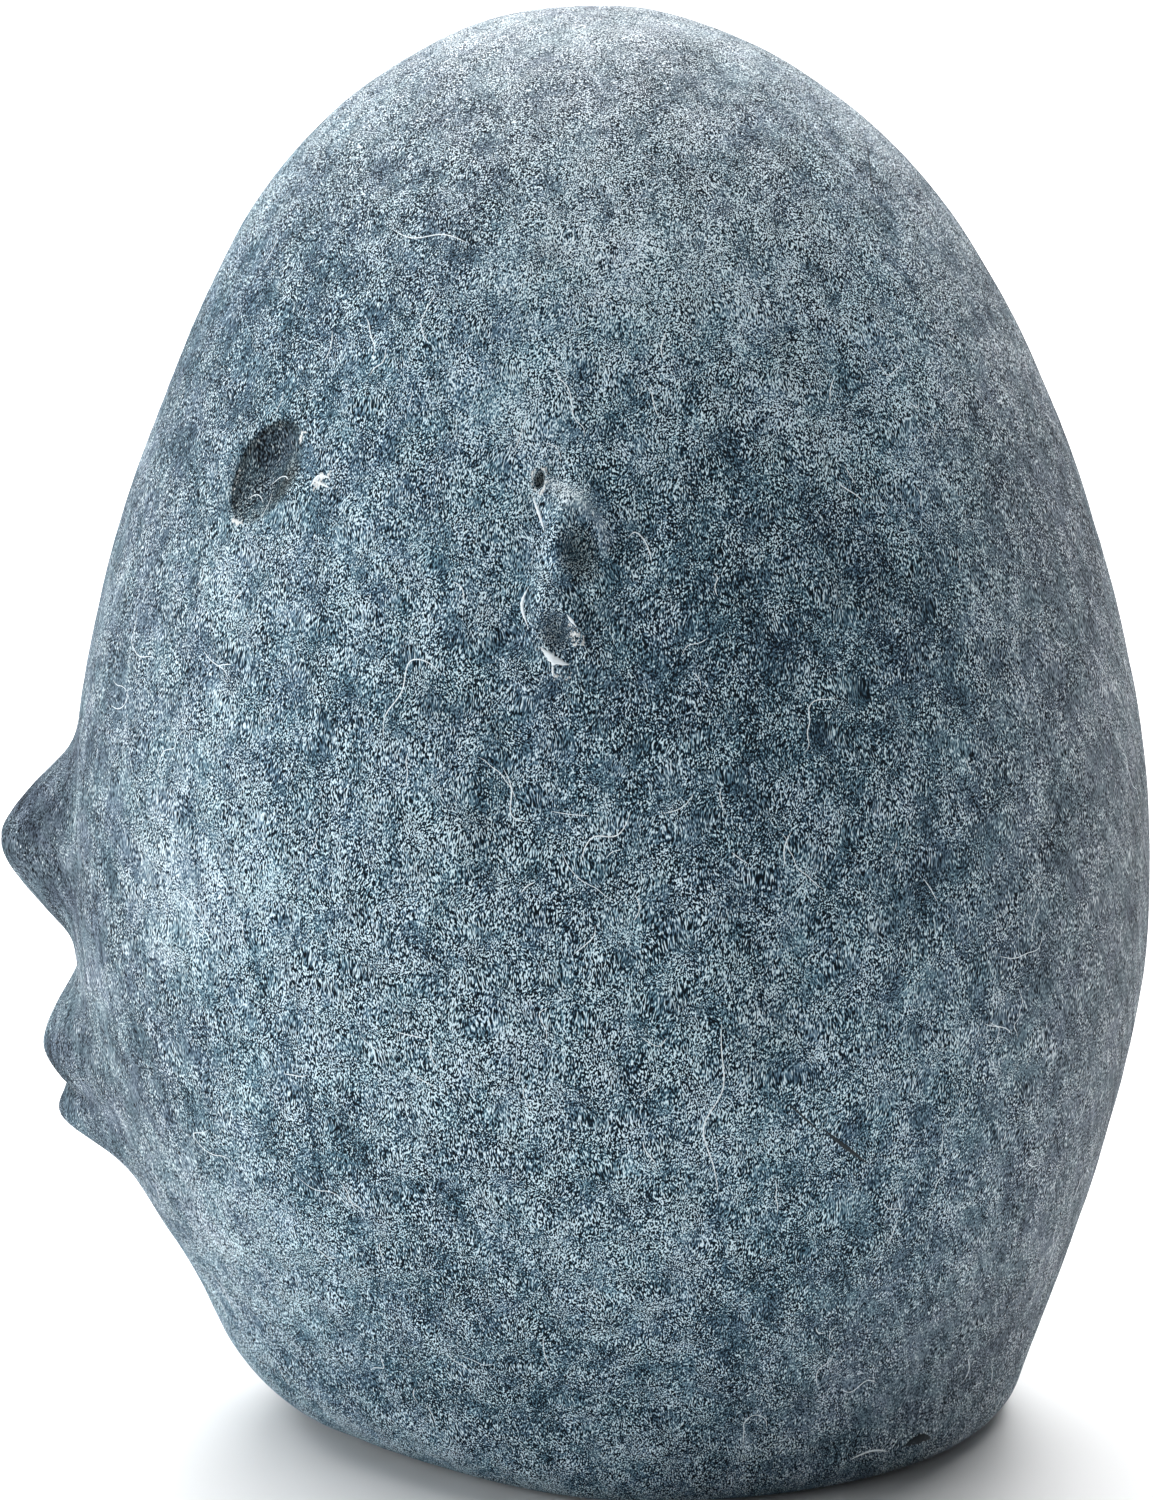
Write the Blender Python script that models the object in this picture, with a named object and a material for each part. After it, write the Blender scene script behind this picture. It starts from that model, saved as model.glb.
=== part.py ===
"""An abstract head in fired clay, modelled by hand as one piece.

The head is a smooth egg that stands on its flat cut base. The nose and the lips are pinched out
of the front, each eye is a thumb print, and each ear is a strip of clay with two finger hollows.

Metres, +Z up. The face looks along -Y, and the head's left side is at +X. The origin lies on the
ground, under the middle of the head.
"""
import math

import bmesh
import bpy
import numpy as np

# ---- Driving dimensions ---------------------------------------------------------------------

HEIGHT = 0.265

# The egg in side view: height, depth in front of its upright axis, depth behind the axis
SIDE_VIEW = (
    (0.000, 0.0770, 0.0690),
    (0.022, 0.0810, 0.0765),
    (0.050, 0.0960, 0.0855),
    (0.082, 0.1035, 0.0925),
    (0.118, 0.1045, 0.0940),
    (0.158, 0.0965, 0.0880),
    (0.198, 0.0810, 0.0765),
    (0.232, 0.0620, 0.0580),
)
CROWN_RADIUS = 0.0595      # radius of curvature of the crown in side view
CROWN_LEAN = 0.0095        # how far the crown leans over the face
SIDE_TO_BACK = 0.918       # half width of the egg, as a share of its depth behind the axis
CHEEK_TAPER = 0.04         # how much slimmer than an ellipse the head is beside the face
FOOT_NARROWING = 0.12      # how much narrower than the rest the base is, from side to side
FOOT_NARROWING_TOP = 0.090
BACK_EDGE_RADIUS = 0.007   # rounding between the base and the back and sides
FRONT_EDGE_RADIUS = 0.024  # and under the chin
EDGE_BLEND = 1.5           # how quickly one rounding gives way to the other

# Pinched shapes: height, how far each stands out, reach upwards, reach downwards, half width,
# and how blunt the tip is
NOSE = (0.1105, 0.0125, 0.0185, 0.0190, 0.0150, 0.34)
UPPER_LIP = (0.0705, 0.0085, 0.0155, 0.0070, 0.0260, 0.29)
LOWER_LIP = (0.0575, 0.0090, 0.0120, 0.0070, 0.0240, 0.29)
PINCH_SPREAD = 0.12        # how softly a pinched shape runs out into the face
FACE_DEPTH = 0.060         # pinched shapes fade out at this depth from the axis

# Ovals on each side of the head: distance behind and above the middle of the eye or ear, half
# width, half height, and how far the top leans towards the back
EYE_ANGLE = math.radians(35.3)   # turned to each side from straight ahead
EYE_HEIGHT = 0.1905
EYE_DEPTH = 0.0025
EYE_PRINT = (0.0, 0.0, 0.0072, 0.0107, math.radians(34))
EYE_EDGE = 3               # sharpness of an oval's edge

EAR_ANGLE = math.radians(82.0)
EAR_HEIGHT = 0.1805
EAR_RISE = 0.0045
EAR_HOLLOW_DEPTH = 0.0042
EAR_LOBES = ((0.0013, 0.0053, 0.0078, 0.0128, 0.0), (-0.0024, -0.0064, 0.0065, 0.0106, 0.0))
EAR_HOLLOWS = ((0.0021, 0.0045, 0.0046, 0.0066, 0.0), (-0.0018, -0.0092, 0.0039, 0.0058, 0.0))
EAR_EDGE = 2

# ---- Fineness of the mesh -------------------------------------------------------------------

HALF_COLUMNS = 39          # from the face round to the back
EDGE_ROWS = 7
BODY_ROWS = 45
CROWN_ROWS = 7
CROWN_START = 0.204        # height above which the rows are spaced by equal angles
# Places where columns crowd: angle, half width of the crowded stretch, crowding added there
CROWDED_COLUMNS = (
    (0.0, math.radians(17), 2.5),
    (EYE_ANGLE, math.radians(7), 3.0),
    (EAR_ANGLE, math.radians(6), 5.0),
)
# Places where rows crowd: height, half width of the crowded stretch, crowding added there
CROWDED_ROWS = (
    (0.078, 0.030, 2.0),
    (0.064, 0.010, 1.2),
    (NOSE[0], 0.026, 1.0),
    (EAR_HEIGHT, 0.019, 3.4),
)

CLAY_COLOUR = (0.153, 0.205, 0.246, 1.0)
CLAY_ROUGHNESS = 0.88


def natural_spline(xs, ys):
    """Return the smooth curve through the points as a function of x, straight at both ends."""
    steps = np.diff(xs)
    slopes = np.diff(ys) / steps
    system = np.eye(len(xs))
    turns = np.zeros(len(xs))
    for i in range(1, len(xs) - 1):
        system[i, i - 1:i + 2] = steps[i - 1], 2 * (steps[i - 1] + steps[i]), steps[i]
        turns[i] = 6 * (slopes[i] - slopes[i - 1])
    bends = np.linalg.solve(system, turns)

    def curve(x):
        i = min(max(int(np.searchsorted(xs, x)) - 1, 0), len(steps) - 1)
        after = x - xs[i]
        before = xs[i + 1] - x
        cubic = (bends[i] * before ** 3 + bends[i + 1] * after ** 3) / (6 * steps[i])
        start = (ys[i] / steps[i] - bends[i] * steps[i] / 6) * before
        end = (ys[i + 1] / steps[i] - bends[i + 1] * steps[i] / 6) * after
        return cubic + start + end

    return curve


def egg_outline(radii, crown_radius):
    """Return a radius of the egg as a function of height.

    The spline runs over the angle of a round as high as the head, and carries each radius's
    share of that round, so that the outline closes over the crown without a point.
    """
    angles = [math.asin(row[0] / HEIGHT) for row in SIDE_VIEW]
    shares = [radius / math.cos(angle) for radius, angle in zip(radii, angles)]
    angles.append(math.pi / 2)
    shares.append(math.sqrt(crown_radius * HEIGHT))
    share = natural_spline(np.array(angles), np.array(shares))

    def outline(height):
        angle = math.asin(height / HEIGHT)
        return share(angle) * math.cos(angle)

    return outline


def side_radii():
    """Half widths of the egg at the heights of the side view."""
    radii = []
    for height, _, back in SIDE_VIEW:
        narrowing = FOOT_NARROWING * max(0.0, 1 - height / FOOT_NARROWING_TOP) ** 2
        radii.append(SIDE_TO_BACK * (1 - narrowing) * back)
    return radii


front_outline = egg_outline([row[1] for row in SIDE_VIEW], CROWN_RADIUS)
back_outline = egg_outline([row[2] for row in SIDE_VIEW], CROWN_RADIUS)
side_outline = egg_outline(side_radii(), CROWN_RADIUS * SIDE_TO_BACK ** 2)


def smooth_step(share):
    """Ease from 0 to 1 as the share goes from 0 to 1."""
    share = min(max(share, 0.0), 1.0)
    return share * share * (3 - 2 * share)


def egg_radius(angle, height):
    """Distance of the plain egg from its axis; angle 0 looks at the face."""
    ahead = math.cos(angle)
    front_share = smooth_step(0.5 + ahead)
    depth = back_outline(height) + (front_outline(height) - back_outline(height)) * front_share
    radius = 1 / math.hypot(ahead / depth, math.sin(angle) / side_outline(height))
    cheek = max(ahead, 0.0)
    radius *= 1 - CHEEK_TAPER * cheek * math.sin(2 * angle) ** 2
    edge = BACK_EDGE_RADIUS + (FRONT_EDGE_RADIUS - BACK_EDGE_RADIUS) * cheek ** EDGE_BLEND
    if height < edge:
        radius -= edge - math.sqrt(edge ** 2 - (edge - height) ** 2)
    return radius


def pinched(shape, x, height):
    """How far a pinched shape stands out of the face at this place."""
    middle, rise, up, down, half_width, bluntness = shape
    reach = up if height > middle else down
    away = math.hypot((height - middle) / reach, x / half_width)
    slope = math.hypot(bluntness, 1.0)
    cone = (slope - math.hypot(bluntness, away)) / (slope - bluntness)
    soft = (cone + math.hypot(cone, PINCH_SPREAD)) / 2
    return rise * soft / ((1 + math.hypot(1, PINCH_SPREAD)) / 2)


def oval(across, up, shape, edge):
    """1 in the middle of an oval, falling to 0 along its edge."""
    middle_across, middle_up, half_width, half_height, lean = shape
    across -= middle_across
    up -= middle_up
    short_way = across * math.cos(lean) - up * math.sin(lean)
    long_way = across * math.sin(lean) + up * math.cos(lean)
    away = math.hypot(short_way / half_width, long_way / half_height)
    return (1 - away ** edge) ** 2 if away < 1 else 0.0


def pressed(angle, height, radius):
    """How far the eyes and ears stand out of the egg, or lie in it where this is negative."""
    eye_across = (abs(angle) - EYE_ANGLE) * radius
    eye = oval(eye_across, height - EYE_HEIGHT, EYE_PRINT, EYE_EDGE)
    ear_across = (abs(angle) - EAR_ANGLE) * radius
    ear_up = height - EAR_HEIGHT
    strip = max(oval(ear_across, ear_up, lobe, EAR_EDGE) for lobe in EAR_LOBES)
    hollow = max(oval(ear_across, ear_up, shape, EAR_EDGE) for shape in EAR_HOLLOWS)
    return EAR_RISE * strip - EAR_HOLLOW_DEPTH * hollow - EYE_DEPTH * eye


def surface_point(angle, height):
    """The point of the finished head in this direction from the axis, at this height."""
    radius = egg_radius(angle, height)
    radius += pressed(angle, height, radius)
    x = radius * math.sin(angle)
    y = -radius * math.cos(angle) - CROWN_LEAN * (height / HEIGHT) ** 3
    facing = min(max(-y / FACE_DEPTH, 0.0), 1.0) ** 2
    for shape in (NOSE, UPPER_LIP, LOWER_LIP):
        y -= facing * pinched(shape, x, height)
    return x, y, height


def crowded(low, high, count, spots):
    """Split low to high into count steps that are smaller around each spot."""
    fine = np.linspace(low, high, 4000)
    density = np.ones_like(fine)
    for middle, half_width, extra in spots:
        density += extra / (1 + ((fine - middle) / half_width) ** 6)
    total = np.cumsum(density) - density[0]
    return np.interp(np.linspace(0, total[-1], count + 1), total, fine)


def row_heights():
    """Heights of the mesh's rows, from the base up to the last one below the crown's tip."""
    edge = [FRONT_EDGE_RADIUS * (1 - math.cos(math.pi / 2 * i / EDGE_ROWS)) for i in range(EDGE_ROWS)]
    body = crowded(FRONT_EDGE_RADIUS, CROWN_START, BODY_ROWS, CROWDED_ROWS)
    crown_angles = np.linspace(math.asin(CROWN_START / HEIGHT), math.pi / 2, CROWN_ROWS + 1)
    crown = [HEIGHT * math.sin(angle) for angle in crown_angles[1:-1]]
    return edge + list(body) + crown


def make_head():
    """Build the head as rings of points, bridged from the base to the tip of the crown."""
    half_turn = list(crowded(0.0, math.pi, HALF_COLUMNS, CROWDED_COLUMNS))
    angles = half_turn + [-angle for angle in reversed(half_turn[1:-1])]
    columns = len(angles)
    mesh_points = bmesh.new()
    rings = []
    for height in row_heights():
        rings.append([mesh_points.verts.new(surface_point(angle, height)) for angle in angles])
    for lower, upper in zip(rings, rings[1:]):
        for i in range(columns):
            j = (i + 1) % columns
            mesh_points.faces.new((lower[i], lower[j], upper[j], upper[i]))
    mesh_points.faces.new(reversed(rings[0]))
    tip = mesh_points.verts.new((0.0, -CROWN_LEAN, HEIGHT))
    for i in range(columns):
        mesh_points.faces.new((rings[-1][i], rings[-1][(i + 1) % columns], tip))

    depths = [vert.co.y for vert in mesh_points.verts]
    middle = (min(depths) + max(depths)) / 2
    bmesh.ops.translate(mesh_points, verts=mesh_points.verts, vec=(0.0, -middle, 0.0))
    mesh = bpy.data.meshes.new("head")
    mesh_points.to_mesh(mesh)
    mesh_points.free()
    mesh.shade_smooth()
    head = bpy.data.objects.new("head", mesh)
    bpy.context.collection.objects.link(head)
    return head


def clay_material():
    """Grey-blue fired clay, matt and dry."""
    material = bpy.data.materials.new("weathered_clay")
    material.use_nodes = True
    shader = material.node_tree.nodes["Principled BSDF"]
    shader.inputs["Base Color"].default_value = CLAY_COLOUR
    shader.inputs["Roughness"].default_value = CLAY_ROUGHNESS
    shader.inputs["Metallic"].default_value = 0.0
    return material


for old in list(bpy.data.objects):
    bpy.data.objects.remove(old, do_unlink=True)
make_head().data.materials.append(clay_material())
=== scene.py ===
"""An abstract clay head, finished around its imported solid.

Metres, +Z up. The face looks along -Y, and the head's left side is at +X.
"""
import math
import random

import bpy
import numpy as np
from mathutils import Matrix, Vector, noise
from mathutils.bvhtree import BVHTree


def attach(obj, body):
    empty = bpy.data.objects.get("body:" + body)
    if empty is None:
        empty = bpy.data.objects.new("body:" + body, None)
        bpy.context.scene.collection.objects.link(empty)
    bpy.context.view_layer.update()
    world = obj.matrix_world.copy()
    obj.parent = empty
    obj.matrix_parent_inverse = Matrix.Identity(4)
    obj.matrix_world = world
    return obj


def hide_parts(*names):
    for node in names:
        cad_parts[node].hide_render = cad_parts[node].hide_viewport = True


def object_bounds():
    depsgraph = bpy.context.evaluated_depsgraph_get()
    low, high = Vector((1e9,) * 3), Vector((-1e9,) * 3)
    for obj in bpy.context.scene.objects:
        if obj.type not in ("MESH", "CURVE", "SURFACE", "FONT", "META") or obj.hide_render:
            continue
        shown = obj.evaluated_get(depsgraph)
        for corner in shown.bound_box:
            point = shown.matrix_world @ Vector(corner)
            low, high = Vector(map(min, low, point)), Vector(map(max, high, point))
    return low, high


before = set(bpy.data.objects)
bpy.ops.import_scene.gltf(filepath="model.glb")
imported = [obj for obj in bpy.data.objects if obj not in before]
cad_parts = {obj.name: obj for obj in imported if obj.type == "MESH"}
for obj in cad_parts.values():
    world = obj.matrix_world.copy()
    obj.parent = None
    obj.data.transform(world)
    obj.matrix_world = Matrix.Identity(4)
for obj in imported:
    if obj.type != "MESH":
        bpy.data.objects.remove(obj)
cad_box = [list(corner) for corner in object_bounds()]

# ---- The clay head --------------------------------------------------------------------------
# One lump of clay, modelled by hand and fired: a smooth egg on a flat cut base, with the nose and
# lips pinched out, a thumb print for each eye and a finger-pressed strip for each ear.
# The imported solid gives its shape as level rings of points, and the hand's marks are added here.

MM = 0.001
FINEST_STEP = 0.6 * MM      # spacing of the points on the ears
COARSEST_STEP = 2.2 * MM    # and on the plain back
STEP_SHARE = 0.28           # between them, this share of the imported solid's own spacing
BASE_RINGS = 9              # rings that close the underside

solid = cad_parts["head"].data
corners = np.empty((len(solid.vertices), 3), np.float32)
solid.vertices.foreach_get("co", corners.ravel())
corners = np.unique(corners, axis=0).astype(float)
tip = corners[corners[:, 2].argmax()]
corners = corners[corners[:, 2] < tip[2] - 0.1 * MM]
levels = np.round(corners[:, 2], 5)
turns = np.round(np.arctan2(corners[:, 0], tip[1] - corners[:, 1]), 5) % (2 * math.pi)
order = np.lexsort((turns, levels))
on_base = levels[order] == 0
rings = corners[order][~on_base].reshape(len(np.unique(levels)) - 1, -1, 3)
# The base ring may lack a point on a straight stretch, so it is read at the turns of the next one
base_turns = turns[order][on_base]
base_radii = np.hypot(corners[order][on_base, 0], corners[order][on_base, 1] - tip[1])
ring_turns = turns[order][~on_base][:rings.shape[1]]
base_radii = np.interp(ring_turns, base_turns, base_radii, period=2 * math.pi)
base = (base_radii * np.sin(ring_turns), tip[1] - base_radii * np.cos(ring_turns), 0 * ring_turns)
rings = np.concatenate((np.stack(base, axis=-1)[None], rings))


def spline_through(knots, values, places):
    """Read the smooth curve through the values, which lie at the knots, at other places."""
    steps = np.diff(knots)
    flat = values.reshape(len(knots), -1)
    slopes = np.diff(flat, axis=0) / steps[:, None]
    system = np.eye(len(knots))
    turns_of = np.zeros_like(flat)
    for i in range(1, len(knots) - 1):
        system[i, i - 1:i + 2] = steps[i - 1], 2 * (steps[i - 1] + steps[i]), steps[i]
        turns_of[i] = 6 * (slopes[i] - slopes[i - 1])
    bends = np.linalg.solve(system, turns_of)
    i = np.clip(np.searchsorted(knots, places, side="right") - 1, 0, len(steps) - 1)
    step = steps[i][:, None]
    after = (places - knots[i])[:, None]
    before = step - after
    cubic = (bends[i] * before ** 3 + bends[i + 1] * after ** 3) / (6 * step)
    start = (flat[i] / step - bends[i] * step / 6) * before
    end = (flat[i + 1] / step - bends[i + 1] * step / 6) * after
    return (cubic + start + end).reshape(len(places), *values.shape[1:])


def knots_along(points):
    """Mean distance from the first row of points to each row."""
    gaps = np.linalg.norm(np.diff(points, axis=0), axis=-1).mean(axis=-1)
    return np.concatenate(([0.0], np.cumsum(gaps)))


def finer_places(knots):
    """Places between the knots, closer together where the knots already are."""
    places = []
    for low, gap in zip(knots, np.diff(knots)):
        step = min(max(gap * STEP_SHARE, FINEST_STEP), COARSEST_STEP)
        count = math.ceil(gap / step)
        places.extend(low + gap * np.arange(count) / count)
    return np.array(places)


# The rows run on over the crown and down the other side, so that the crown closes smoothly
HALF = rings.shape[1] // 2
far_side = np.roll(rings[:-6:-1], HALF, axis=1)
over = np.concatenate((rings, np.broadcast_to(tip, (1, *rings.shape[1:])), far_side))
row_knots = knots_along(over)
row_places = finer_places(row_knots[:len(rings) + 1])
rows = spline_through(row_knots, over, row_places)

WRAP = 6
around = np.concatenate((rows[:, -WRAP:], rows, rows[:, :WRAP + 1]), axis=1).transpose(1, 0, 2)
column_knots = knots_along(around)
column_knots -= column_knots[WRAP]
column_places = finer_places(column_knots[WRAP:-WRAP])
grid = spline_through(column_knots, around, column_places).transpose(1, 0, 2)
ROWS, COLUMNS = grid.shape[:2]

# Thumbs rounded off the corners of the mouth: their place, how far they reached, and how often
CORNER_X, CORNER_Z, CORNER_WIDTH, CORNER_HEIGHT = 22 * MM, 62 * MM, 10 * MM, 8 * MM
THUMB_STROKES = 40
FACE_FRONT = -60 * MM       # the mouth lies in front of this
beside = (np.abs(grid[..., 0]) - CORNER_X) / CORNER_WIDTH
above = (grid[..., 2] - CORNER_Z) / CORNER_HEIGHT
rounded_off = np.exp(-beside ** 2 - above ** 2) * (grid[..., 1] < FACE_FRONT)
for _ in range(THUMB_STROKES):
    four_sides = [np.roll(grid, step, axis) for step in (1, -1) for axis in (0, 1)]
    grid = grid + (sum(four_sides) / 4 - grid) * rounded_off[..., None]


def outward(points):
    """Unit directions out of the clay at each point of the grid."""
    upwards = np.gradient(points, axis=0)
    sideways = np.roll(points, -1, axis=1) - np.roll(points, 1, axis=1)
    normals = np.cross(sideways, upwards)
    return normals / np.linalg.norm(normals, axis=-1, keepdims=True)


def lumps(points, size, seed):
    """Smooth random heights between about -1 and 1, with lumps of this size, one per point."""
    shifted = points.reshape(-1, 3) / size + seed * 17.3
    return np.array([noise.noise(p) for p in shifted.tolist()]).reshape(points.shape[:-1]) * 1.6


def ease(share):
    """0 to 1 as the share goes from 0 to 1, without corners."""
    share = np.clip(share, 0.0, 1.0)
    return share * share * (3 - 2 * share)


out = outward(grid)
height = grid[..., 2]
bearing = np.arctan2(grid[..., 0], tip[1] - grid[..., 1])

# Hand-smoothed clay is never quite even: broad swells, narrower ones, and long soft strokes
stroke_space = np.stack((np.sin(bearing) * 0.09, np.cos(bearing) * 0.09, height * 0.15), axis=-1)
relief = 0.45 * MM * (lumps(grid, 48 * MM, 1) - 0.6)
relief += 0.16 * MM * lumps(grid, 15 * MM, 2)
relief += 0.07 * MM * lumps(stroke_space, 6 * MM, 3)
relief += 0.035 * MM * lumps(grid, 3.2 * MM, 4)


# Every mark is placed by its turn, in degrees from straight ahead about the head's leaning axis,
# and its height in mm
CROWN_LEAN = 9.5 * MM
axis_y = tip[1] + CROWN_LEAN * (1 - (height / tip[2]) ** 3)
radius = np.hypot(grid[..., 0], axis_y - grid[..., 1])
turn = np.degrees(np.arctan2(grid[..., 0], axis_y - grid[..., 1]))


class Spot:
    """Distances back and up along the clay from one spot on it, in mm, for the whole grid."""

    def __init__(self, turn_at, height_at, reach):
        side = 1 if turn_at >= 0 else -1
        around = (turn * side - abs(turn_at) + 180) % 360 - 180
        self.back = np.radians(around) * radius / MM
        self.up = height / MM - height_at
        self.near = ease(1.5 - np.hypot(self.back, self.up) / reach)

    def oval(self, back, up, half_width, half_height, lean=0.0):
        """Distance from the middle of an oval, 1 on its edge; its top leans back by this angle."""
        back, up = self.back - back, self.up - up
        cosine, sine = math.cos(lean), math.sin(lean)
        return np.hypot(
            (back * cosine - up * sine) / half_width, (back * sine + up * cosine) / half_height,
        )

    def along(self, line):
        """Distance from a smooth line through (back, up) points, and the share along it."""
        line = np.array(line, float)
        knots = np.arange(len(line), dtype=float)
        places = np.linspace(0, len(line) - 1, 8 * len(line))
        fine = spline_through(knots, line, places)
        nearest = np.full(self.back.shape, 1e9)
        share = np.zeros(self.back.shape)
        for k, (start, end) in enumerate(zip(fine, fine[1:])):
            span = end - start
            back, up = self.back - start[0], self.up - start[1]
            part_way = np.clip((back * span[0] + up * span[1]) / (span @ span), 0.0, 1.0)
            gap = np.hypot(back - part_way * span[0], up - part_way * span[1])
            share = np.where(gap < nearest, (k + part_way) / (len(fine) - 1), share)
            nearest = np.minimum(nearest, gap)
        return nearest, share


def bump(distance, width):
    """A soft round profile, 1 in the middle and gone at about twice the width."""
    return np.exp(-(distance / width) ** 2)


wash = np.zeros(grid.shape[:2])    # more or less white wash left than usual
grit = np.ones(grid.shape[:2])     # how strongly the grain shows, less where a brush smoothed it
# The next layer also carries painted shade: it darkens the dents, the eye rims, the ear's hole and
# hollows and the mouth's shut line
bare_clay_and_shade = np.zeros(grid.shape[:2])   # bare darker clay in the hollows
lime = np.zeros(grid.shape[:2])    # thick white wash caught in the creases
thumb = np.zeros(grid.shape[:2])   # where the print of a thumb or a tool shows
edge = np.full(grid.shape[:2], 2.0)    # way out from the middle of such a print, 1 on its edge

# Marks left by the fingers while the clay was soft: turn, height, half width, half height, depth
DENTS = (
    (72, 137, 4.5, 8.5, 0.55), (121, 176, 7.0, 6.0, 0.60), (80, 231, 4.0, 2.5, 0.35),
    (117, 214, 2.2, 7.0, 0.50), (66, 156, 8.0, 5.0, 0.35), (105, 104, 7.0, 14.0, 0.40),
    (-96, 120, 8.0, 12.0, 0.50), (-122, 180, 6.0, 9.0, 0.55), (-164, 205, 9.0, 6.0, 0.50),
    (170, 118, 12.0, 8.0, 0.50), (-57, 96, 6.0, 8.0, 0.45),
)
for turn_at, height_at, half_width, half_height, depth in DENTS:
    spot = Spot(turn_at, height_at, reach=30)
    pressed = bump(spot.oval(0, 0, half_width, half_height), 1.0) * spot.near
    relief -= depth * MM * pressed
    # Each dent is also darkened: painted shade in its hollow
    bare_clay_and_shade += 0.25 * pressed

EYE_LEAN = math.radians(34)
for side in (1, -1):
    # The eye: a slanting thumb print, crisp along its front and upper rim and soft behind, with
    # crumbs of wash at its two ends
    eye = Spot(side * 35.3, 190.5, reach=16)
    away = eye.oval(0.0, 0.0, 7.0, 10.5, EYE_LEAN)
    short_way = eye.back * math.cos(EYE_LEAN) - eye.up * math.sin(EYE_LEAN)
    crisp = ease(0.5 - short_way / 6.0) * eye.near
    inside = ease((1.03 - away) / 0.14)
    relief -= 0.50 * MM * inside * crisp
    relief += 0.22 * MM * bump(away - 1.12, 0.10) * crisp
    grit -= 0.22 * inside * crisp
    soft_print = ease((1.12 - away) / 0.30)
    thumb += (soft_print + (ease((1.5 - away) / 0.3) - soft_print) * crisp) * eye.near
    print_way = eye.oval(0.2, 0.3, 7.0, 10.5, EYE_LEAN)
    edge = np.minimum(edge, print_way)
    # A painted shadow line darkens the inside of the crisp rim
    bare_clay_and_shade += 0.45 * bump(print_way - 0.89, 0.08) * crisp
    bare_clay_and_shade += 0.42 * bump(eye.oval(3.8, -1.6, 2.0, 5.0, EYE_LEAN), 1.0) * eye.near
    lime += 0.75 * bump(eye.oval(-4.4, -9.0, 2.6, 1.1), 1.0) * eye.near
    lime += 0.65 * bump(eye.oval(6.9, 7.6, 1.2, 3.2, 0.3), 1.0) * eye.near
    lime += 0.60 * bump(eye.oval(-7.4, -2.5, 0.8, 2.6), 1.0) * eye.near

    # The ear: a strip of clay laid on, rolled over at its top and pressed down in two hollows
    ear = Spot(side * 82.0, 180.5, reach=26)
    front, share = ear.along(
        ((-5.5, 13.0), (-6.4, 11.2), (-5.0, 8.8), (-4.8, 6.0), (-5.6, 2.0), (-7.2, -2.6),
         (-8.0, -5.8), (-6.8, -9.0), (-5.0, -12.0), (-2.6, -14.5), (0.6, -15.0))
    )
    relief -= 0.60 * MM * bump(front, 0.8) * (1 - bump(share - 0.43, 0.10)) * ear.near
    rim, _ = ear.along(
        ((-3.4, 14.8), (-1.2, 14.3), (1.4, 13.4), (3.6, 11.7), (5.5, 9.0), (6.6, 6.0), (6.8, 3.6))
    )
    relief += 0.55 * MM * bump(rim, 1.2) * ear.near
    fold, _ = ear.along(((0.9, -5.4), (1.3, -8.0), (1.9, -10.6), (2.7, -13.5)))
    relief += 0.60 * MM * bump(fold, 1.0) * ear.near
    tube = ear.oval(-4.7, 15.0, 1.0, 1.5, 0.15)
    relief += 0.60 * MM * bump(tube - 1.35, 0.45) * ear.near
    relief -= 1.1 * MM * ease((1.1 - tube) / 0.7) * ear.near
    thumb += ease((1.8 - tube) / 0.4) * ear.near
    # Painted shade darkens the hole
    bare_clay_and_shade += 0.4 * ease((1.1 - tube) / 0.4) * ear.near
    edge = np.minimum(edge, tube)
    # The two hollows are darkened: barer clay and painted shade
    upper_hollow = ease((1.2 - ear.oval(2.4, 3.6, 4.2, 6.2)) / 0.8)
    lower_hollow = ease((1.15 - ear.oval(-1.9, -9.8, 3.2, 4.6)) / 0.8)
    bare_clay_and_shade += (0.60 * upper_hollow + 0.48 * lower_hollow) * ear.near
    # The rolled top and its rim are smoothed and lightened with a painted highlight, stronger on the +X
    # ear; a weaker painted highlight lies down the strip's front flank
    smooth_top_and_highlight = (bump(ear.oval(-0.2, 12.0, 3.8, 2.8), 1.0) + 0.8 * bump(rim, 1.1)) * ear.near
    wash += (0.32 if side > 0 else 0.12) * smooth_top_and_highlight
    grit -= 0.40 * smooth_top_and_highlight
    wash += 0.12 * bump(ear.oval(-4.6, 3.0, 2.4, 9.0), 1.0) * ear.near
    lime += 0.66 * bump(ear.oval(1.3, -10.4, 1.5, 3.6, -0.25), 1.0) * ear.near
    lime += 0.72 * bump(tube - 1.35, 0.30) * ear.near
    lime += 0.62 * bump(ear.oval(-1.2, -17.2, 3.0, 1.3), 1.0) * ear.near

# Crumbs of thick wash beside the eyes: turn, height, half width, half height, lean, amount
CRUMBS = (
    (45.4, 191.6, 1.2, 2.6, 0.7, 0.80), (48.2, 190.4, 2.4, 0.8, 0.0, 0.55),
    (-47.0, 188.0, 1.0, 2.2, 0.4, 0.70),
)
for turn_at, height_at, half_width, half_height, lean, amount in CRUMBS:
    spot = Spot(turn_at, height_at, reach=8)
    lime += amount * bump(spot.oval(0, 0, half_width, half_height, lean), 1.0) * spot.near

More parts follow.
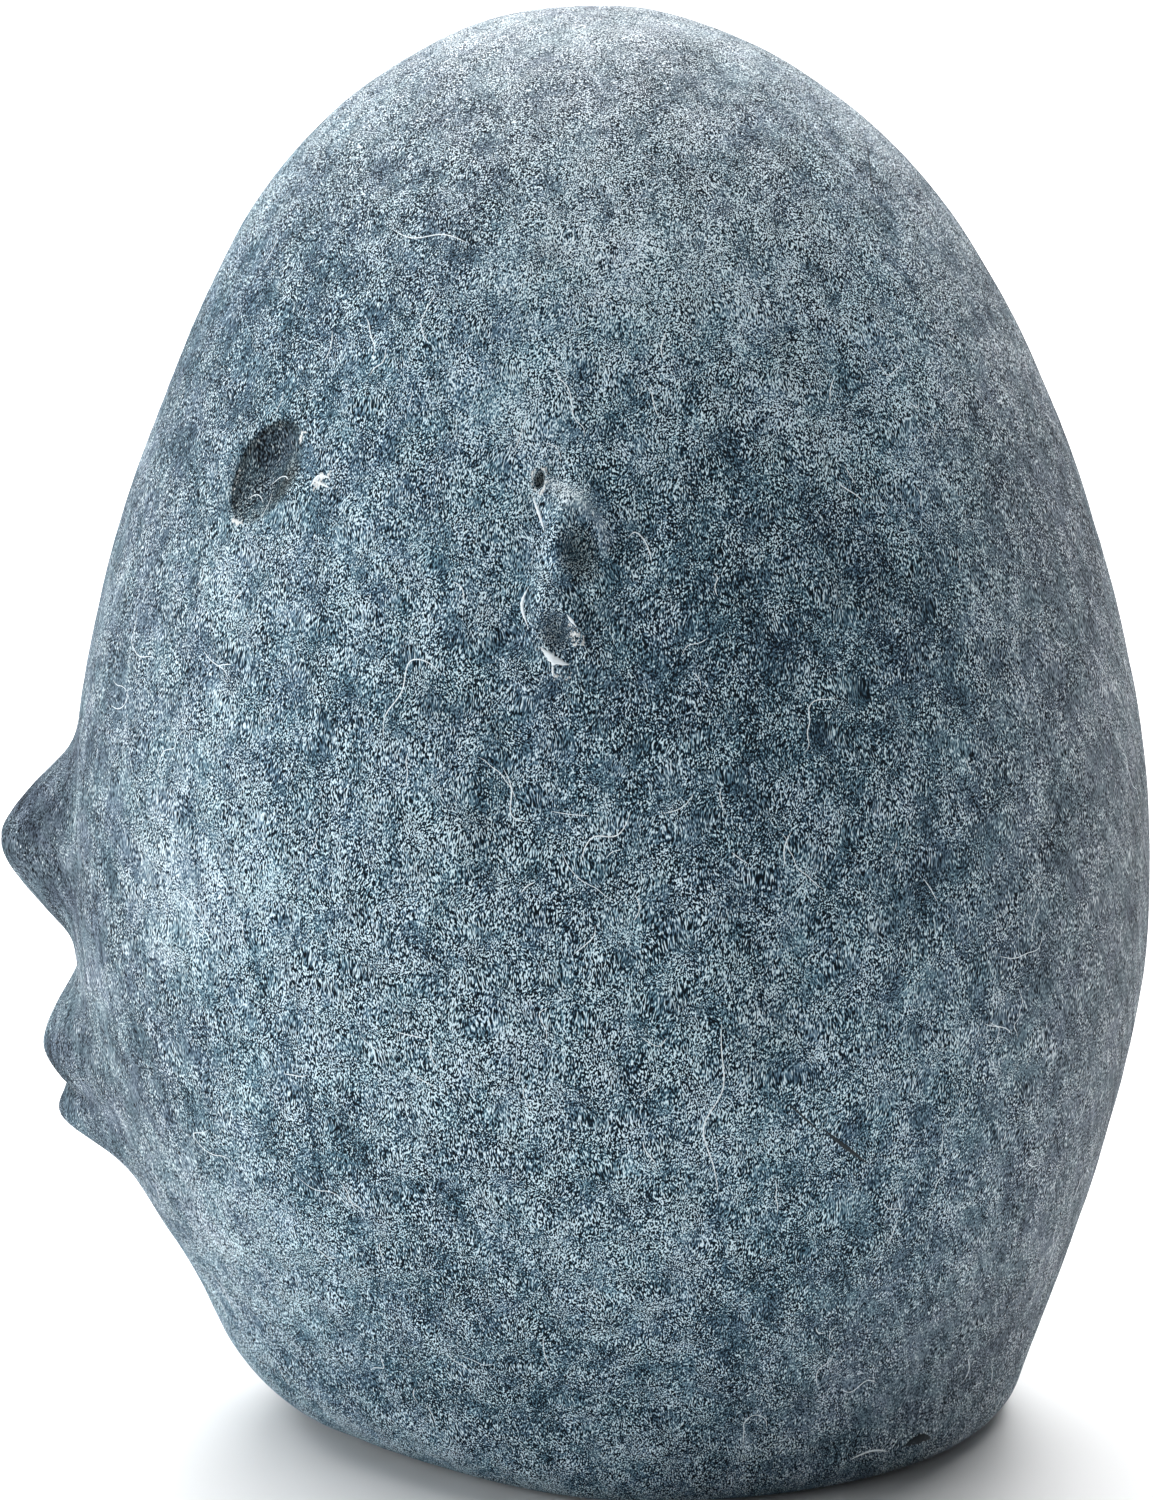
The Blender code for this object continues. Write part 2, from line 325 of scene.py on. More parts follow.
# Where the wash was rubbed off or left thicker: turn, height, reach, how much more wash
WASH_AREAS = (
    (90, 235, 15, 0.14), (70, 213, 18, 0.10), (110, 222, 25, 0.10),      # thick over the ear
    (15, 205, 20, -0.15), (40, 225, 16, -0.10),     # rubbed off the brow
    # behind the ear the wash is thinner, and this darker patch also paints the ear's cast shadow
    (105, 170, 35, -0.22), (110, 140, 25, -0.06),   # and behind and below the ear
    (80, 130, 20, -0.10),
    (0, 110, 15, -0.20), (0, 65, 18, -0.16),     # and off the nose and lips
    (30, 115, 16, 0.20), (45, 125, 35, 0.05),    # thick beside the nose, on the cheek and the jaw
    (33, 50, 18, 0.14),
    (55, 30, 25, -0.14), (85, 20, 30, -0.06), (135, 20, 30, -0.10),     # rubbed off round the foot
    (165, 190, 25, -0.10),
    (-110, 190, 30, -0.12), (-80, 115, 25, 0.06), (-165, 160, 30, -0.10),
)
for turn_at, height_at, reach, amount in WASH_AREAS:
    spot = Spot(turn_at, height_at, reach=2 * reach)
    wash += amount * bump(spot.oval(0, 0, reach, reach), 1.0)

# Where a damp brush or palm filled the grain, the skin looks smooth, and it was left open on the
# bulge and the temple: turn, height, reach, how much of the grain is filled
FILLED_AREAS = (
    (0, 180, 45, 0.50), (0, 110, 50, 0.65), (15, 65, 30, 0.50),      # the face
    (160, 190, 45, 0.35), (165, 110, 60, 0.60), (165, 40, 45, 0.40),     # the back
    (130, 25, 30, 0.40), (82, 165, 18, 0.15), (-70, 180, 35, 0.30),
    (75, 95, 45, -0.30), (120, 210, 28, -0.40),
)
for turn_at, height_at, reach, amount in FILLED_AREAS:
    spot = Spot(turn_at, height_at, reach=2 * reach)
    grit *= 1 - amount * bump(spot.oval(0, 0, reach, reach), 1.0)

# The crown was patted smooth and white
PATTED_REACH = 36 * MM
patted = bump(np.linalg.norm(grid - tip, axis=-1) / PATTED_REACH, 1.0)
wash += 0.16 * patted
grit *= 1 - 0.35 * patted

# The mouth: the lower lip was pinched up under the upper one, which leaves a thin shut line, darkened
# with painted shade
MOUTH_HEIGHT, MOUTH_HALF_WIDTH, MOUTH_FADE = 64 * MM, 20 * MM, 9 * MM
on_mouth = ease((MOUTH_HALF_WIDTH - np.abs(grid[..., 0])) / MOUTH_FADE) * (grid[..., 1] < FACE_FRONT)
shut_line = bump((height - MOUTH_HEIGHT) / MM, 1.0) * on_mouth
relief -= 0.8 * MM * shut_line
bare_clay_and_shade += 0.3 * shut_line

# The underside stays flat, so the marks die out towards it
FLAT_BELOW = 5 * MM
relief *= ease(height / FLAT_BELOW)
grid = grid + out * relief[..., None]
grid = np.clip(grid, cad_box[0], cad_box[1])

bottom = grid[0]
middle = bottom.mean(axis=0)
floor_rings = [middle + (bottom - middle) * share for share in np.linspace(1, 0, BASE_RINGS + 1)[1:-1]]
vertices = np.concatenate((np.concatenate(floor_rings[::-1]), grid.reshape(-1, 3)))
level_count = ROWS + BASE_RINGS - 1
index = np.arange(level_count * COLUMNS).reshape(level_count, COLUMNS)
lower, upper = index[:-1], index[1:]
quads = np.stack((lower, np.roll(lower, -1, 1), np.roll(upper, -1, 1), upper), axis=-1)
top, floor_middle = len(vertices), len(vertices) + 1
faces = quads.reshape(-1, 4).tolist()
faces += [(a, b, top) for a, b in zip(index[-1], np.roll(index[-1], -1))]
faces += [(b, a, floor_middle) for a, b in zip(index[0], np.roll(index[0], -1))]
vertices = np.concatenate((vertices, [tip, middle]))

head_mesh = bpy.data.meshes.new("clay_head")
head_mesh.from_pydata(vertices.tolist(), [], faces)
head_mesh.validate()
head_mesh.shade_smooth()
head = bpy.data.objects.new("clay_head", head_mesh)
bpy.context.scene.collection.objects.link(head)

# The points of the underside carry no marks
SKIRT = len(vertices) - 2 - ROWS * COLUMNS
LAYERS = {"wash": wash, "grit": grit, "bare_clay_and_shade": bare_clay_and_shade, "lime": lime, "thumb": thumb, "edge": edge}
for name, values in LAYERS.items():
    layer = head_mesh.attributes.new(name, "FLOAT", "POINT")
    spread = np.concatenate((np.zeros(SKIRT), values.ravel(), np.zeros(2)))
    layer.data.foreach_set("value", spread.astype(np.float32))


def linear(hex_colour):
    """Turn an sRGB hex colour to linear red, green, blue and a full alpha."""
    shares = [int(hex_colour[i:i + 2], 16) / 255 for i in (1, 3, 5)]
    return [s / 12.92 if s <= 0.04045 else ((s + 0.055) / 1.055) ** 2.4 for s in shares] + [1.0]


def add(tree, kind, inputs=None, **settings):
    """Add a node with its settings; each input is a value or the output it comes from."""
    made = tree.nodes.new(kind)
    for name, value in settings.items():
        setattr(made, name, value)
    for name, value in (inputs or {}).items():
        if isinstance(value, bpy.types.NodeSocket):
            tree.links.new(value, made.inputs[name])
        else:
            made.inputs[name].default_value = value
    return made


# Unglazed clay, fired grey-blue, brushed with thin white lime wash and rubbed back: the wash stays
# on the high grain and leaves the pits dark, so the eye sees a dry, chalky, finely speckled skin.
# The speckle is fine sand in the clay, 0.2 mm.
weathered_clay = bpy.data.materials.new("weathered_clay_rubbed_lime_wash")
weathered_clay.use_nodes = True
tree = weathered_clay.node_tree
shader = tree.nodes["Principled BSDF"]
shader.inputs["Metallic"].default_value = 0.0
shader.inputs["IOR"].default_value = 1.5
shader.inputs["Roughness"].default_value = 0.9
shader.inputs["Specular IOR Level"].default_value = 0.15    # an open, chalky skin has little sheen
place = add(tree, "ShaderNodeTexCoord").outputs["Object"]
millimetres = add(tree, "ShaderNodeVectorMath", {0: place, "Scale": 1000.0}, operation="SCALE").outputs[0]

# Brush strokes run up and down the egg: its far and near sides are drawn to one round of this
# radius in mm, and the height is squeezed, so that a stroke is over five times as long as it is wide
STROKE_ROUND = 90.0
STROKE_SQUEEZE = 0.18
across = add(tree, "ShaderNodeVectorMath", {0: millimetres, 1: (1.0, 1.0, 0.0)}, operation="MULTIPLY")
facing = add(tree, "ShaderNodeVectorMath", {0: across.outputs[0]}, operation="NORMALIZE")
rounded = add(
    tree, "ShaderNodeVectorMath", {0: facing.outputs[0], "Scale": STROKE_ROUND}, operation="SCALE",
)
brushed = add(
    tree, "ShaderNodeVectorMath", {0: millimetres, 1: (0.0, 0.0, STROKE_SQUEEZE), 2: rounded.outputs[0]},
    operation="MULTIPLY_ADD",
).outputs[0]
# Behind they lean, by this turn in radians for each mm of height. In front they curve back above
# and below the middle, by this turn for each square mm.
STROKE_MIDDLE = 130.0
BACK_LEAN, FRONT_CURVE = 0.0055, -0.000028
facing_back = add(tree, "ShaderNodeSeparateXYZ", {0: facing.outputs[0]}).outputs["Y"]
height_up = add(tree, "ShaderNodeSeparateXYZ", {0: millimetres}).outputs["Z"]
off_middle = add(
    tree, "ShaderNodeMath", {0: height_up, 1: STROKE_MIDDLE}, operation="SUBTRACT",
).outputs[0]
curved = add(tree, "ShaderNodeMath", {0: off_middle, 1: off_middle}, operation="MULTIPLY").outputs[0]
leaning = []
for way, amount in ((curved, FRONT_CURVE), (height_up, BACK_LEAN)):
    angle = add(tree, "ShaderNodeMath", {0: way, 1: amount}, operation="MULTIPLY").outputs[0]
    leaning.append(add(
        tree, "ShaderNodeVectorRotate", {"Vector": brushed, "Angle": angle}, rotation_type="Z_AXIS",
    ).outputs[0])

# The grain is drawn out a little up and down the head, and stirred by the rubbing hand, so that it
# lies in short curved strokes
GRAIN_DRAW = (1.0, 1.0, 0.45)
STIR_SPACING, STIR = 6.0, 2.0      # mm
swirl = add(tree, "ShaderNodeTexNoise", {"Vector": millimetres, "Scale": 1 / STIR_SPACING, "Detail": 0.0})
drawn = add(
    tree, "ShaderNodeVectorMath", {0: millimetres, 1: GRAIN_DRAW}, operation="MULTIPLY",
).outputs[0]
stirred = add(
    tree, "ShaderNodeVectorMath", {0: swirl.outputs["Color"], 1: (STIR, STIR, STIR), 2: drawn},
    operation="MULTIPLY_ADD",
).outputs[0]

# Each pattern in the wash: its space, the size of its lumps in mm, its detail, how rough that is
PATTERNS = {
    "clouds": (millimetres, 55.0, 2.0, 0.5),
    "patches": (millimetres, 17.0, 3.0, 0.75),
    "mottle": (stirred, 4.6, 2.0, 0.8),
    "wear": (millimetres, 6.0, 2.0, 0.75),
    "speckle": (stirred, 0.22, 0.0, 0.5),
    "streaks": (leaning[0], 1.4, 2.0, 0.6),
    "back_streaks": (leaning[1], 1.4, 2.0, 0.6),
    "crumbs": (millimetres, 0.9, 2.0, 0.7),
    "tint": (millimetres, 9.0, 2.0, 0.7),
}
patterns = {
    name: add(tree, "ShaderNodeTexNoise", {
        "Vector": space, "Scale": 1 / size, "Detail": detail, "Roughness": rough,
    }).outputs["Fac"]
    for name, (space, size, detail, rough) in PATTERNS.items()
}
behind = add(
    tree, "ShaderNodeMapRange", {"Value": facing_back, "From Min": 0.0, "From Max": 0.35},
).outputs[0]
patterns["streaks"] = add(
    tree, "ShaderNodeMix", {"Factor": behind, "A": patterns["streaks"], "B": patterns["back_streaks"]},
).outputs["Result"]
# Single pits and single grains: their spacing in mm, and a shift so that they fall apart
DOT_HEART, DOT_EDGE = 0.12, 0.27      # as shares of the spacing
for name, spacing, shift in (("pits", 0.62, 0.0), ("flecks", 0.60, 41.3)):
    shifted = add(tree, "ShaderNodeVectorMath", {0: stirred, 1: (shift, shift, shift)}).outputs[0]
    cells = add(tree, "ShaderNodeTexVoronoi", {"Vector": shifted, "Scale": 1 / spacing})
    patterns[name] = add(tree, "ShaderNodeMapRange", {
        "Value": cells.outputs["Distance"], "From Min": DOT_HEART, "From Max": DOT_EDGE,
        "To Min": 1.0, "To Max": 0.0,
    }).outputs[0]
# The ridges of a thumb are 0.5 mm apart, drawn here at 0.9 mm so that they show
RIDGE_SPACING = 0.9
RIDGE_WAY = (-0.50, -0.50, 0.71)
climb = add(
    tree, "ShaderNodeVectorMath", {0: millimetres, 1: RIDGE_WAY}, operation="DOT_PRODUCT",
).outputs["Value"]
ridge_turn = add(
    tree, "ShaderNodeMath", {0: climb, 1: 2 * math.pi / RIDGE_SPACING}, operation="MULTIPLY",
).outputs[0]
patterns["ridges"] = add(tree, "ShaderNodeMath", {0: ridge_turn}, operation="SINE").outputs[0]
marks = {
    name: add(tree, "ShaderNodeAttribute", attribute_name=name).outputs["Fac"]
    for name in LAYERS
}
# A print has a crisp edge wherever it was pressed deep
in_print = add(
    tree, "ShaderNodeMapRange", {"Value": marks["edge"], "From Min": 0.98, "From Max": 0.94},
).outputs[0]
patterns["print"] = add(
    tree, "ShaderNodeMath", {0: marks["thumb"], 1: in_print}, operation="MULTIPLY",
).outputs[0]
# Inside the prints and along the marked hollows the clay is darkened: partly bare clay, partly painted
# shade
PRINT_BARE_CLAY_AND_SHADE = 0.52
bare_and_shaded = add(
    tree, "ShaderNodeMath", {0: patterns["print"], 1: PRINT_BARE_CLAY_AND_SHADE, 2: marks["bare_clay_and_shade"]},
    operation="MULTIPLY_ADD",
).outputs[0]
# Strokes show where little grain does, and die out on the crown, within these distances from the
# axis in mm
STROKE_SHARE = 1.3
CROWN_BARE, CROWN_EDGE = 14.0, 45.0
smooth_skin = add(
    tree, "ShaderNodeMath", {0: STROKE_SHARE, 1: marks["grit"]}, operation="SUBTRACT",
).outputs[0]
from_axis = add(tree, "ShaderNodeVectorMath", {0: across.outputs[0]}, operation="LENGTH").outputs["Value"]
off_crown = add(
    tree, "ShaderNodeMapRange", {"Value": from_axis, "From Min": CROWN_BARE, "From Max": CROWN_EDGE},
).outputs[0]
smooth_skin = add(
    tree, "ShaderNodeMath", {0: smooth_skin, 1: off_crown}, operation="MULTIPLY",
).outputs[0]
# The grain is worn smooth in some places and stands open in others
opened = add(tree, "ShaderNodeMapRange", {
    "Value": patterns["wear"], "From Min": 0.36, "From Max": 0.64, "To Min": 0.62, "To Max": 1.55,
}).outputs[0]
grainy = add(tree, "ShaderNodeMath", {0: opened, 1: marks["grit"]}, operation="MULTIPLY").outputs[0]

# How much wash is left: each pattern less its middle, its weight, and where it shows
COVER_PARTS = (
    ("clouds", 0.5, 0.34, 1.0), ("patches", 0.5, 0.62, 1.0), ("mottle", 0.5, 0.90, marks["grit"]),
    ("speckle", 0.5, 3.1, grainy), ("pits", 0.0, -1.9, grainy), ("flecks", 0.0, 1.0, grainy),
    ("streaks", 0.5, 0.85, smooth_skin), ("ridges", 0.0, 0.07, patterns["print"]),
    # less wash inside the prints: partly bare clay, partly painted shade
    ("print", 0.0, -0.10, 1.0),
)
COVER_MIDDLE = 0.48
cover = add(tree, "ShaderNodeMath", {0: marks["wash"], 1: COVER_MIDDLE}, operation="ADD").outputs[0]
for name, middle_value, weight, shown in COVER_PARTS:
    part = add(
        tree, "ShaderNodeMath", {0: patterns[name], 1: middle_value}, operation="SUBTRACT",
    ).outputs[0]
    part = add(tree, "ShaderNodeMath", {0: part, 1: weight}, operation="MULTIPLY").outputs[0]
    cover = add(
        tree, "ShaderNodeMath", {0: part, 1: shown, 2: cover}, operation="MULTIPLY_ADD",
    ).outputs[0]

# The same cover gives bluer tones on the open grain than on skin that a brush has filled
TONE_PLACES = (0.0, 0.2, 0.5, 0.8, 1.0)
TONES = {
    "gritty": ("#000e17", "#20394b", "#516f81", "#8aa8b8", "#d6eaf3"),
    "smooth": ("#080f15", "#303c47", "#63737f", "#96a5ae", "#dbe5ea"),
}
tones = {}
for name, colours in TONES.items():
    ramp = add(tree, "ShaderNodeValToRGB", {"Fac": cover})
    while len(ramp.color_ramp.elements) < len(colours):
        ramp.color_ramp.elements.new(0.5)
    for element, position, colour in zip(ramp.color_ramp.elements, TONE_PLACES, colours):
        element.position = position
        element.color = linear(colour)
    tones[name] = ramp.outputs["Color"]
openness = add(
    tree, "ShaderNodeMapRange", {"Value": marks["grit"], "From Min": 0.35, "From Max": 0.95},
).outputs[0]
skin = add(
    tree, "ShaderNodeMix", {"Factor": openness, "A": tones["smooth"], "B": tones["gritty"]},
    data_type="RGBA",
).outputs["Result"]
# The body of the clay is a little greener in places and a little more violet in others
TINTS = ((0.36, "#b7bebd"), (0.5, "#bcbcbc"), (0.64, "#bfbbc0"))
tint = add(tree, "ShaderNodeValToRGB", {"Fac": patterns["tint"]})
tint.color_ramp.elements.new(0.5)
for element, (position, colour) in zip(tint.color_ramp.elements, TINTS):
    element.position = position
    element.color = linear(colour)
skin = add(
    tree, "ShaderNodeMix", {"Factor": 1.0, "A": skin, "B": tint.outputs["Color"]},
    data_type="RGBA", blend_type="SOFT_LIGHT",
).outputs["Result"]
# Bare clay and painted shade darken the skin
skin = add(
    tree, "ShaderNodeMix", {"Factor": bare_and_shaded, "A": skin, "B": linear("#9c9892")},
    data_type="RGBA", blend_type="MULTIPLY",
).outputs["Result"]
# Dust greys the crown, between these heights in mm, and the back, between these shares of facing it
dust = 0.0
for way, start, full, most in ((height_up, 215.0, 262.0, 0.36), (facing_back, 0.72, 1.0, 0.36)):
    layer = add(tree, "ShaderNodeMapRange", {
        "Value": way, "From Min": start, "From Max": full, "To Min": 0.0, "To Max": most,
    }).outputs[0]
    dust = add(tree, "ShaderNodeMath", {0: layer, 1: dust}, operation="MAXIMUM").outputs[0]
skin = add(
    tree, "ShaderNodeMix", {"Factor": dust, "A": skin, "B": linear("#a6a3a3")},
    data_type="RGBA", blend_type="COLOR",
).outputs["Result"]
# Thick wash breaks up into crumbs along its edges
CRUMBLING = 1.6
ragged = add(tree, "ShaderNodeMath", {0: patterns["crumbs"], 1: 0.5}, operation="SUBTRACT").outputs[0]
ragged = add(
    tree, "ShaderNodeMath", {0: ragged, 1: CRUMBLING, 2: marks["lime"]}, operation="MULTIPLY_ADD",
).outputs[0]
thick = add(
    tree, "ShaderNodeMapRange", {"Value": ragged, "From Min": 0.48, "From Max": 0.66},
).outputs[0]
skin = add(
    tree, "ShaderNodeMix", {"Factor": thick, "A": skin, "B": linear("#dfe3e4")}, data_type="RGBA",
).outputs["Result"]
tree.links.new(skin, shader.inputs["Base Color"])

HEIGHT_PARTS = (("speckle", 1.0), ("mottle", 0.8), ("pits", -0.6), ("print", -1.6))
skin_height = 0.0
for name, weight in HEIGHT_PARTS:
    skin_height = add(
        tree, "ShaderNodeMath", {0: patterns[name], 1: weight, 2: skin_height}, operation="MULTIPLY_ADD",
    ).outputs[0]
rough_skin = add(tree, "ShaderNodeBump", {"Height": skin_height, "Strength": 0.8, "Distance": 0.5 * MM})
tree.links.new(rough_skin.outputs["Normal"], shader.inputs["Normal"])

head_mesh.materials.append(weathered_clay)
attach(head, "root")
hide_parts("head")

# ---- Threads and crumbs of wash -------------------------------------------------------------
# Hairs and thick runs of the same lime wash that dried on the clay, a few of them scratched back
# to the dark body, and small chips at the foot. They are part of the skin and stand out by the
# thickness of paint.

THREAD_STEP = 0.5      # mm between the rings of a thread
THREAD_SIDES = 6
THICK = 0.28           # half width in mm above which a run of wash is fat in its middle
THREAD_RISE = 0.45     # how far a thread stands out, as a share of its half width
WHITE, GREY, DARK = 1.0, 0.74, 0.0

# The marks that stand out: half width in mm, tone, then (turn, height) points
MARKS_LAID = (
    # Flake and hairs at the eye
    (0.24, WHITE, (44, 190), (45, 192), (47, 192)), (0.20, WHITE, (45, 191), (47, 190.5)),
    (0.10, GREY, (32, 185), (33, 186), (35, 185)), (0.10, GREY, (35, 188), (37, 190), (39, 190)),
    # Slip squeezed out round the ear
    (0.40, WHITE, (77, 193), (78, 190), (79, 187)), (0.35, WHITE, (77, 178), (76, 175), (77, 171)),
    (1.00, WHITE, (78.5, 168), (80, 166), (82, 165)), (0.40, GREY, (82, 174), (83, 172)),
    (0.20, GREY, (80, 165), (80, 163)), (0.12, GREY, (90, 186), (91, 187), (92, 186), (93, 182)),
    # Long hairs in the wash
    (0.12, WHITE, (59, 150), (59, 154), (61, 159), (62, 164), (64, 164), (66, 162)),
    (0.12, GREY, (99, 104), (99, 97), (99, 90), (97, 84), (98, 77), (99, 69)),
    (0.12, GREY, (83, 131), (85, 136), (87, 136), (89, 140)),
    (0.12, GREY, (108, 136), (107, 133), (107, 130)),
    (0.12, GREY, (74, 147), (75, 143), (75, 139), (77, 138)),
    (0.11, GREY, (46, 233), (52, 232), (57, 233), (63, 232)),
    (0.12, GREY, (121, 25), (123, 24), (125, 26), (127, 25)),
    # Scratches through it, and chips at the foot
    (0.40, DARK, (111, 82), (114, 78), (118, 73)), (0.18, DARK, (107, 87), (111, 81)),
    (0.15, DARK, (165, 243), (155, 239), (150, 235)),
    (1.20, DARK, (137, 8), (140, 9), (143, 8)), (0.25, WHITE, (127, 8), (131, 9), (134, 8)),
)
# Stray hairs lie anywhere between these turns and heights, so many on each side
STRAY_HAIRS = ((15, 172, 110), (185, 350, 60))
LOWEST_HAIR, HIGHEST_HAIR = 14, 225
CLAY_OUTSIDE = 0.2      # a ray that looks for the clay starts this far out

clay_faces = quads.reshape(-1, 4)
clay = BVHTree.FromPolygons(vertices.tolist(), clay_faces.tolist())


def on_clay(turn_at, height_at):
    """The point of the clay at this turn and height, and the direction out of it."""
    angle = math.radians(turn_at)
    z = height_at * MM
    axis = Vector((0.0, tip[1] + CROWN_LEAN * (1 - (z / tip[2]) ** 3), z))
    ahead = Vector((math.sin(angle), -math.cos(angle), 0.0))
    place, normal, _, _ = clay.ray_cast(axis + ahead * CLAY_OUTSIDE, -ahead)
    return place, normal if normal.dot(ahead) > 0 else -normal


thread_points, thread_faces, thread_tones = [], [], []


def lay_thread(points, half_width, tone):
    """Lay a tapering thread on the clay through (turn, height) points."""
    knots = np.array(points, float)
    if len(knots) == 2:
        knots = np.insert(knots, 1, knots.mean(axis=0), axis=0)
    marks_on = [on_clay(*knot)[0] for knot in knots]
    gaps = [(b - a).length / MM for a, b in zip(marks_on, marks_on[1:])]
    lengths = np.concatenate(([0.0], np.cumsum(gaps)))
    count = max(4, math.ceil(lengths[-1] / THREAD_STEP))
    shares = np.linspace(0, 1, count + 1)
    line = [on_clay(*at) for at in spline_through(lengths, knots, shares * lengths[-1])]
    first = len(thread_points)
    for k, (share, (place, normal)) in enumerate(zip(shares, line)):
        along = (line[min(k + 1, count)][0] - line[max(k - 1, 0)][0]).normalized()
        across = normal.cross(along)
        swell = 1 - abs(2 * share - 1) ** (1.5 if half_width > THICK else 4)
        size = half_width * MM * max(0.12, swell) * (1 + 0.25 * math.sin(9.1 * k))
        for corner in range(THREAD_SIDES):
            angle = 2 * math.pi * corner / THREAD_SIDES
            lift = THREAD_RISE * size * math.sin(angle)
            thread_points.append(place + across * size * math.cos(angle) + normal * lift)
            thread_tones.append(tone)
    for k in range(count):
        for corner in range(THREAD_SIDES):
            a = first + k * THREAD_SIDES + corner
            b = first + k * THREAD_SIDES + (corner + 1) % THREAD_SIDES
            thread_faces.append((a, b, b + THREAD_SIDES, a + THREAD_SIDES))
    last = first + count * THREAD_SIDES
    thread_faces.append(tuple(range(first + THREAD_SIDES - 1, first - 1, -1)))
    thread_faces.append(tuple(range(last, last + THREAD_SIDES)))


for half_width, tone, *points in MARKS_LAID:
    lay_thread(points, half_width, tone)

rng = random.Random(11)
for first_turn, last_turn, count in STRAY_HAIRS:
    for _ in range(count):
        at_turn = rng.uniform(first_turn, last_turn)
        at_height = rng.uniform(LOWEST_HAIR, HIGHEST_HAIR)
        heading = rng.choice((-1, 1)) * rng.gauss(math.pi / 2, 0.5)
        points = [(at_turn, at_height)]
        for _ in range(rng.choice((2, 2, 3, 3, 4, 7))):
            step = rng.uniform(1.0, 2.6)
            heading += rng.gauss(0.0, 0.5)
            at_turn += math.cos(heading) * step * 0.8
            at_height += math.sin(heading) * step
            points.append((at_turn, at_height))
        lay_thread(points, rng.uniform(0.07, 0.11), GREY)

thread_points = np.clip(np.array(thread_points), cad_box[0], cad_box[1])
threads_mesh = bpy.data.meshes.new("wash_threads")
threads_mesh.from_pydata(thread_points.tolist(), [], thread_faces)
threads_mesh.validate()
threads_mesh.shade_smooth()
threads = bpy.data.objects.new("wash_threads", threads_mesh)
bpy.context.scene.collection.objects.link(threads)
layer = threads_mesh.attributes.new("tone", "FLOAT", "POINT")
layer.data.foreach_set("value", np.array(thread_tones, np.float32))

# Dried lime wash, as thick as paint: matt and nearly white, greyer where dust has settled in it
dried_wash = bpy.data.materials.new("dried_lime_wash")
dried_wash.use_nodes = True
tree = dried_wash.node_tree
shader = tree.nodes["Principled BSDF"]
shader.inputs["Metallic"].default_value = 0.0
shader.inputs["IOR"].default_value = 1.5
shader.inputs["Roughness"].default_value = 0.85
place = add(tree, "ShaderNodeTexCoord").outputs["Object"]
millimetres = add(tree, "ShaderNodeVectorMath", {0: place, "Scale": 1000.0}, operation="SCALE").outputs[0]
DUST_SPACING = 1.2      # mm
dust = add(
    tree, "ShaderNodeTexNoise", {"Vector": millimetres, "Scale": 1 / DUST_SPACING, "Detail": 2.0},
).outputs["Fac"]
tone = add(tree, "ShaderNodeAttribute", attribute_name="tone").outputs["Fac"]
tone = add(tree, "ShaderNodeMath", {0: dust, 1: 0.5, 2: tone}, operation="MULTIPLY_ADD").outputs[0]
ramp = add(tree, "ShaderNodeValToRGB", {"Fac": tone})
WASH_TONES = ((0.3, "#1c262c"), (1.0, "#dfe9ef"))
for element, (position, colour) in zip(ramp.color_ramp.elements, WASH_TONES):
    element.position = position
    element.color = linear(colour)
tree.links.new(ramp.outputs["Color"], shader.inputs["Base Color"])
threads_mesh.materials.append(dried_wash)
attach(threads, "root")

# ---- Floor, light and camera ----------------------------------------------------------------
# A plain pale studio floor, one large soft light high in front of the face, and weaker ones low in
# front, behind the head, and over the floor beyond it.

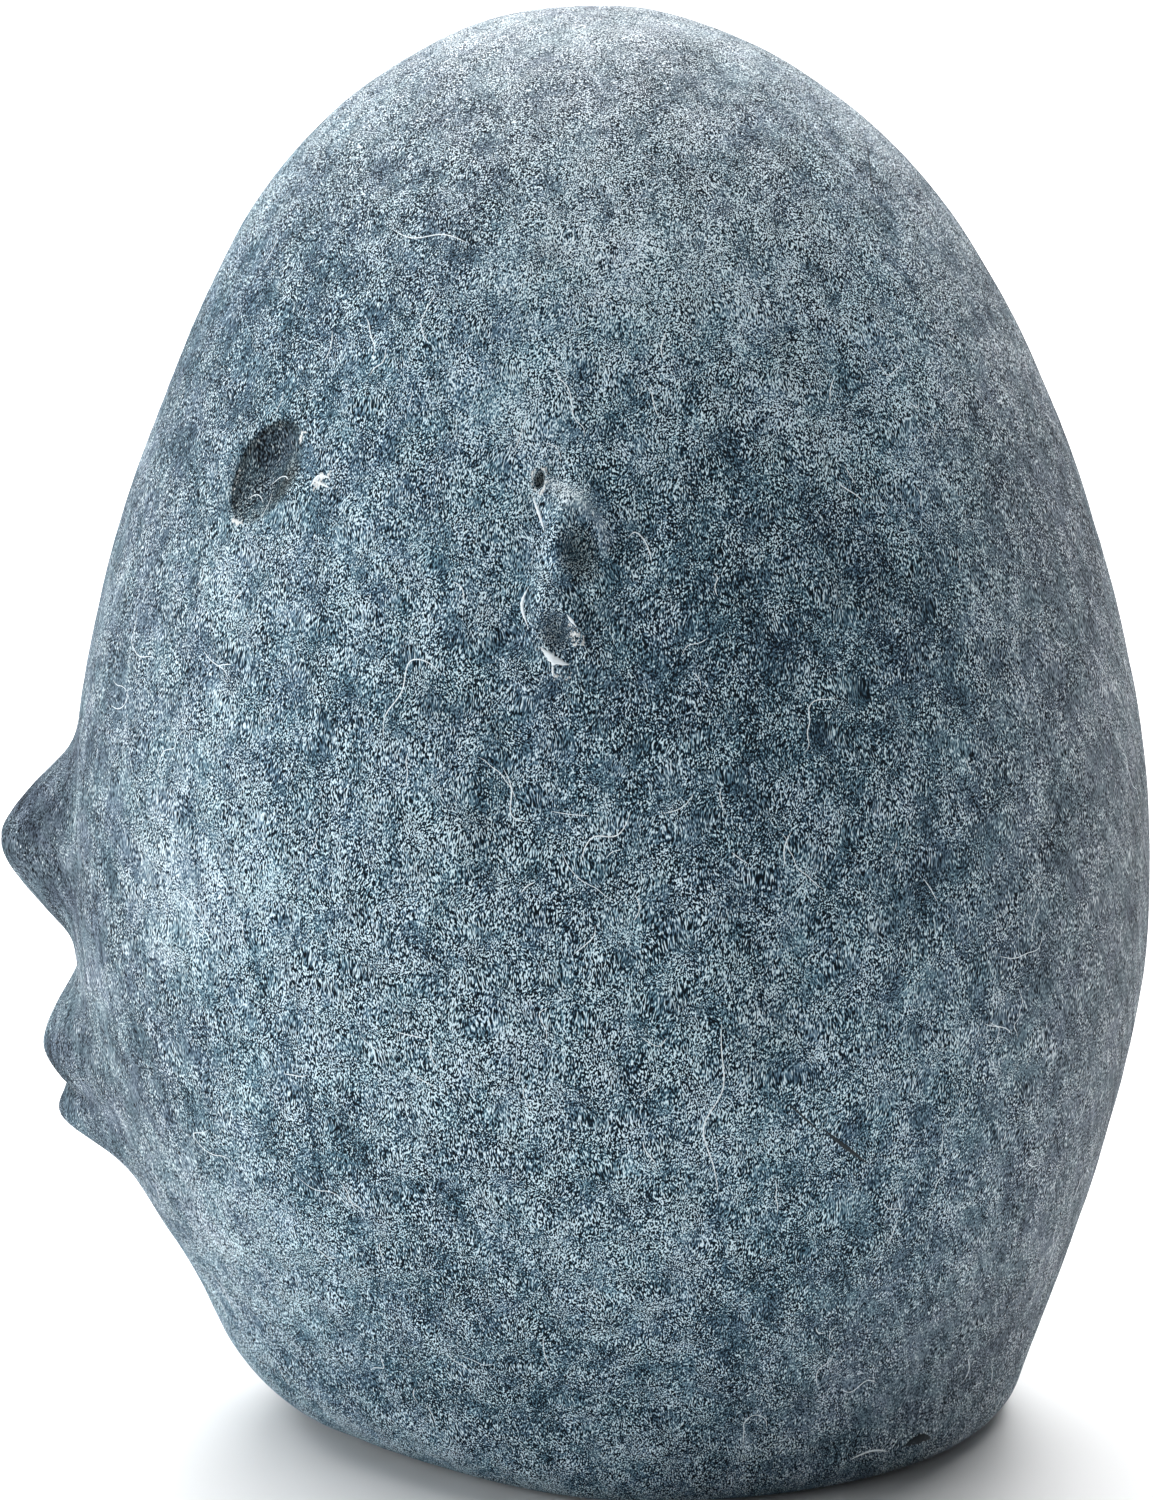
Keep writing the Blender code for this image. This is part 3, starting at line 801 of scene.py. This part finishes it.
FLOOR_HALF = 8.0
floor_mesh = bpy.data.meshes.new("studio_floor")
floor_corners = [(x * FLOOR_HALF, y * FLOOR_HALF, 0.0) for x, y in ((-1, -1), (1, -1), (1, 1), (-1, 1))]
floor_mesh.from_pydata(floor_corners, [], [(0, 1, 2, 3)])
studio_floor = bpy.data.objects.new("studio_floor", floor_mesh)
bpy.context.scene.collection.objects.link(studio_floor)
# Matt white paper: it gives the eye nothing but a soft shadow under the head
paper = bpy.data.materials.new("matt_white_paper")
paper.use_nodes = True
paper.node_tree.nodes["Principled BSDF"].inputs["Base Color"].default_value = linear("#f7f7f7")
paper.node_tree.nodes["Principled BSDF"].inputs["Roughness"].default_value = 0.95
floor_mesh.materials.append(paper)

AIM = Vector((0.0, 0.0, 0.12736))


def softbox(name, place_at, aim, size, power):
    """A square white studio light that faces its aim."""
    lamp = bpy.data.lights.new(name, "AREA")
    lamp.shape = "SQUARE"
    lamp.size = size
    lamp.energy = power
    holder = bpy.data.objects.new(name, lamp)
    holder.location = place_at
    holder.rotation_euler = (Vector(aim) - Vector(place_at)).to_track_quat("-Z", "Y").to_euler()
    holder.visible_camera = False
    bpy.context.scene.collection.objects.link(holder)


softbox("high_key_light", (-0.37, -0.82, 1.69), AIM, 1.6, 42.0)
softbox("low_front_light", (0.66, -1.63, 0.56), AIM, 1.2, 16.0)
softbox("rear_top_light", (-0.64, 0.64, 1.69), AIM, 1.1, 28.0)
softbox("back_light", (-2.4, 0.0, 2.2), (-2.4, 0.0, 0.0), 2.4, 120.0)

world = bpy.data.worlds.new("studio")
world.use_nodes = True
world.node_tree.nodes["Background"].inputs["Color"].default_value = linear("#ffffff")
world.node_tree.nodes["Background"].inputs["Strength"].default_value = 0.12
bpy.context.scene.world = world
bpy.context.scene.view_settings.view_transform = "Standard"

CAMERA_DISTANCE = 1.3
CAMERA_HEIGHT_ANGLE = math.radians(16.0)
camera = bpy.data.objects.new("camera", bpy.data.cameras.new("camera"))
camera.data.sensor_width = 36.0
camera.data.lens = 170.3      # mm, which fills the frame with the head at this distance
back_off = Vector((math.cos(CAMERA_HEIGHT_ANGLE), 0.0, math.sin(CAMERA_HEIGHT_ANGLE)))
camera.location = AIM + back_off * CAMERA_DISTANCE
camera.rotation_euler = back_off.to_track_quat("Z", "Y").to_euler()
bpy.context.scene.collection.objects.link(camera)
bpy.context.scene.camera = camera
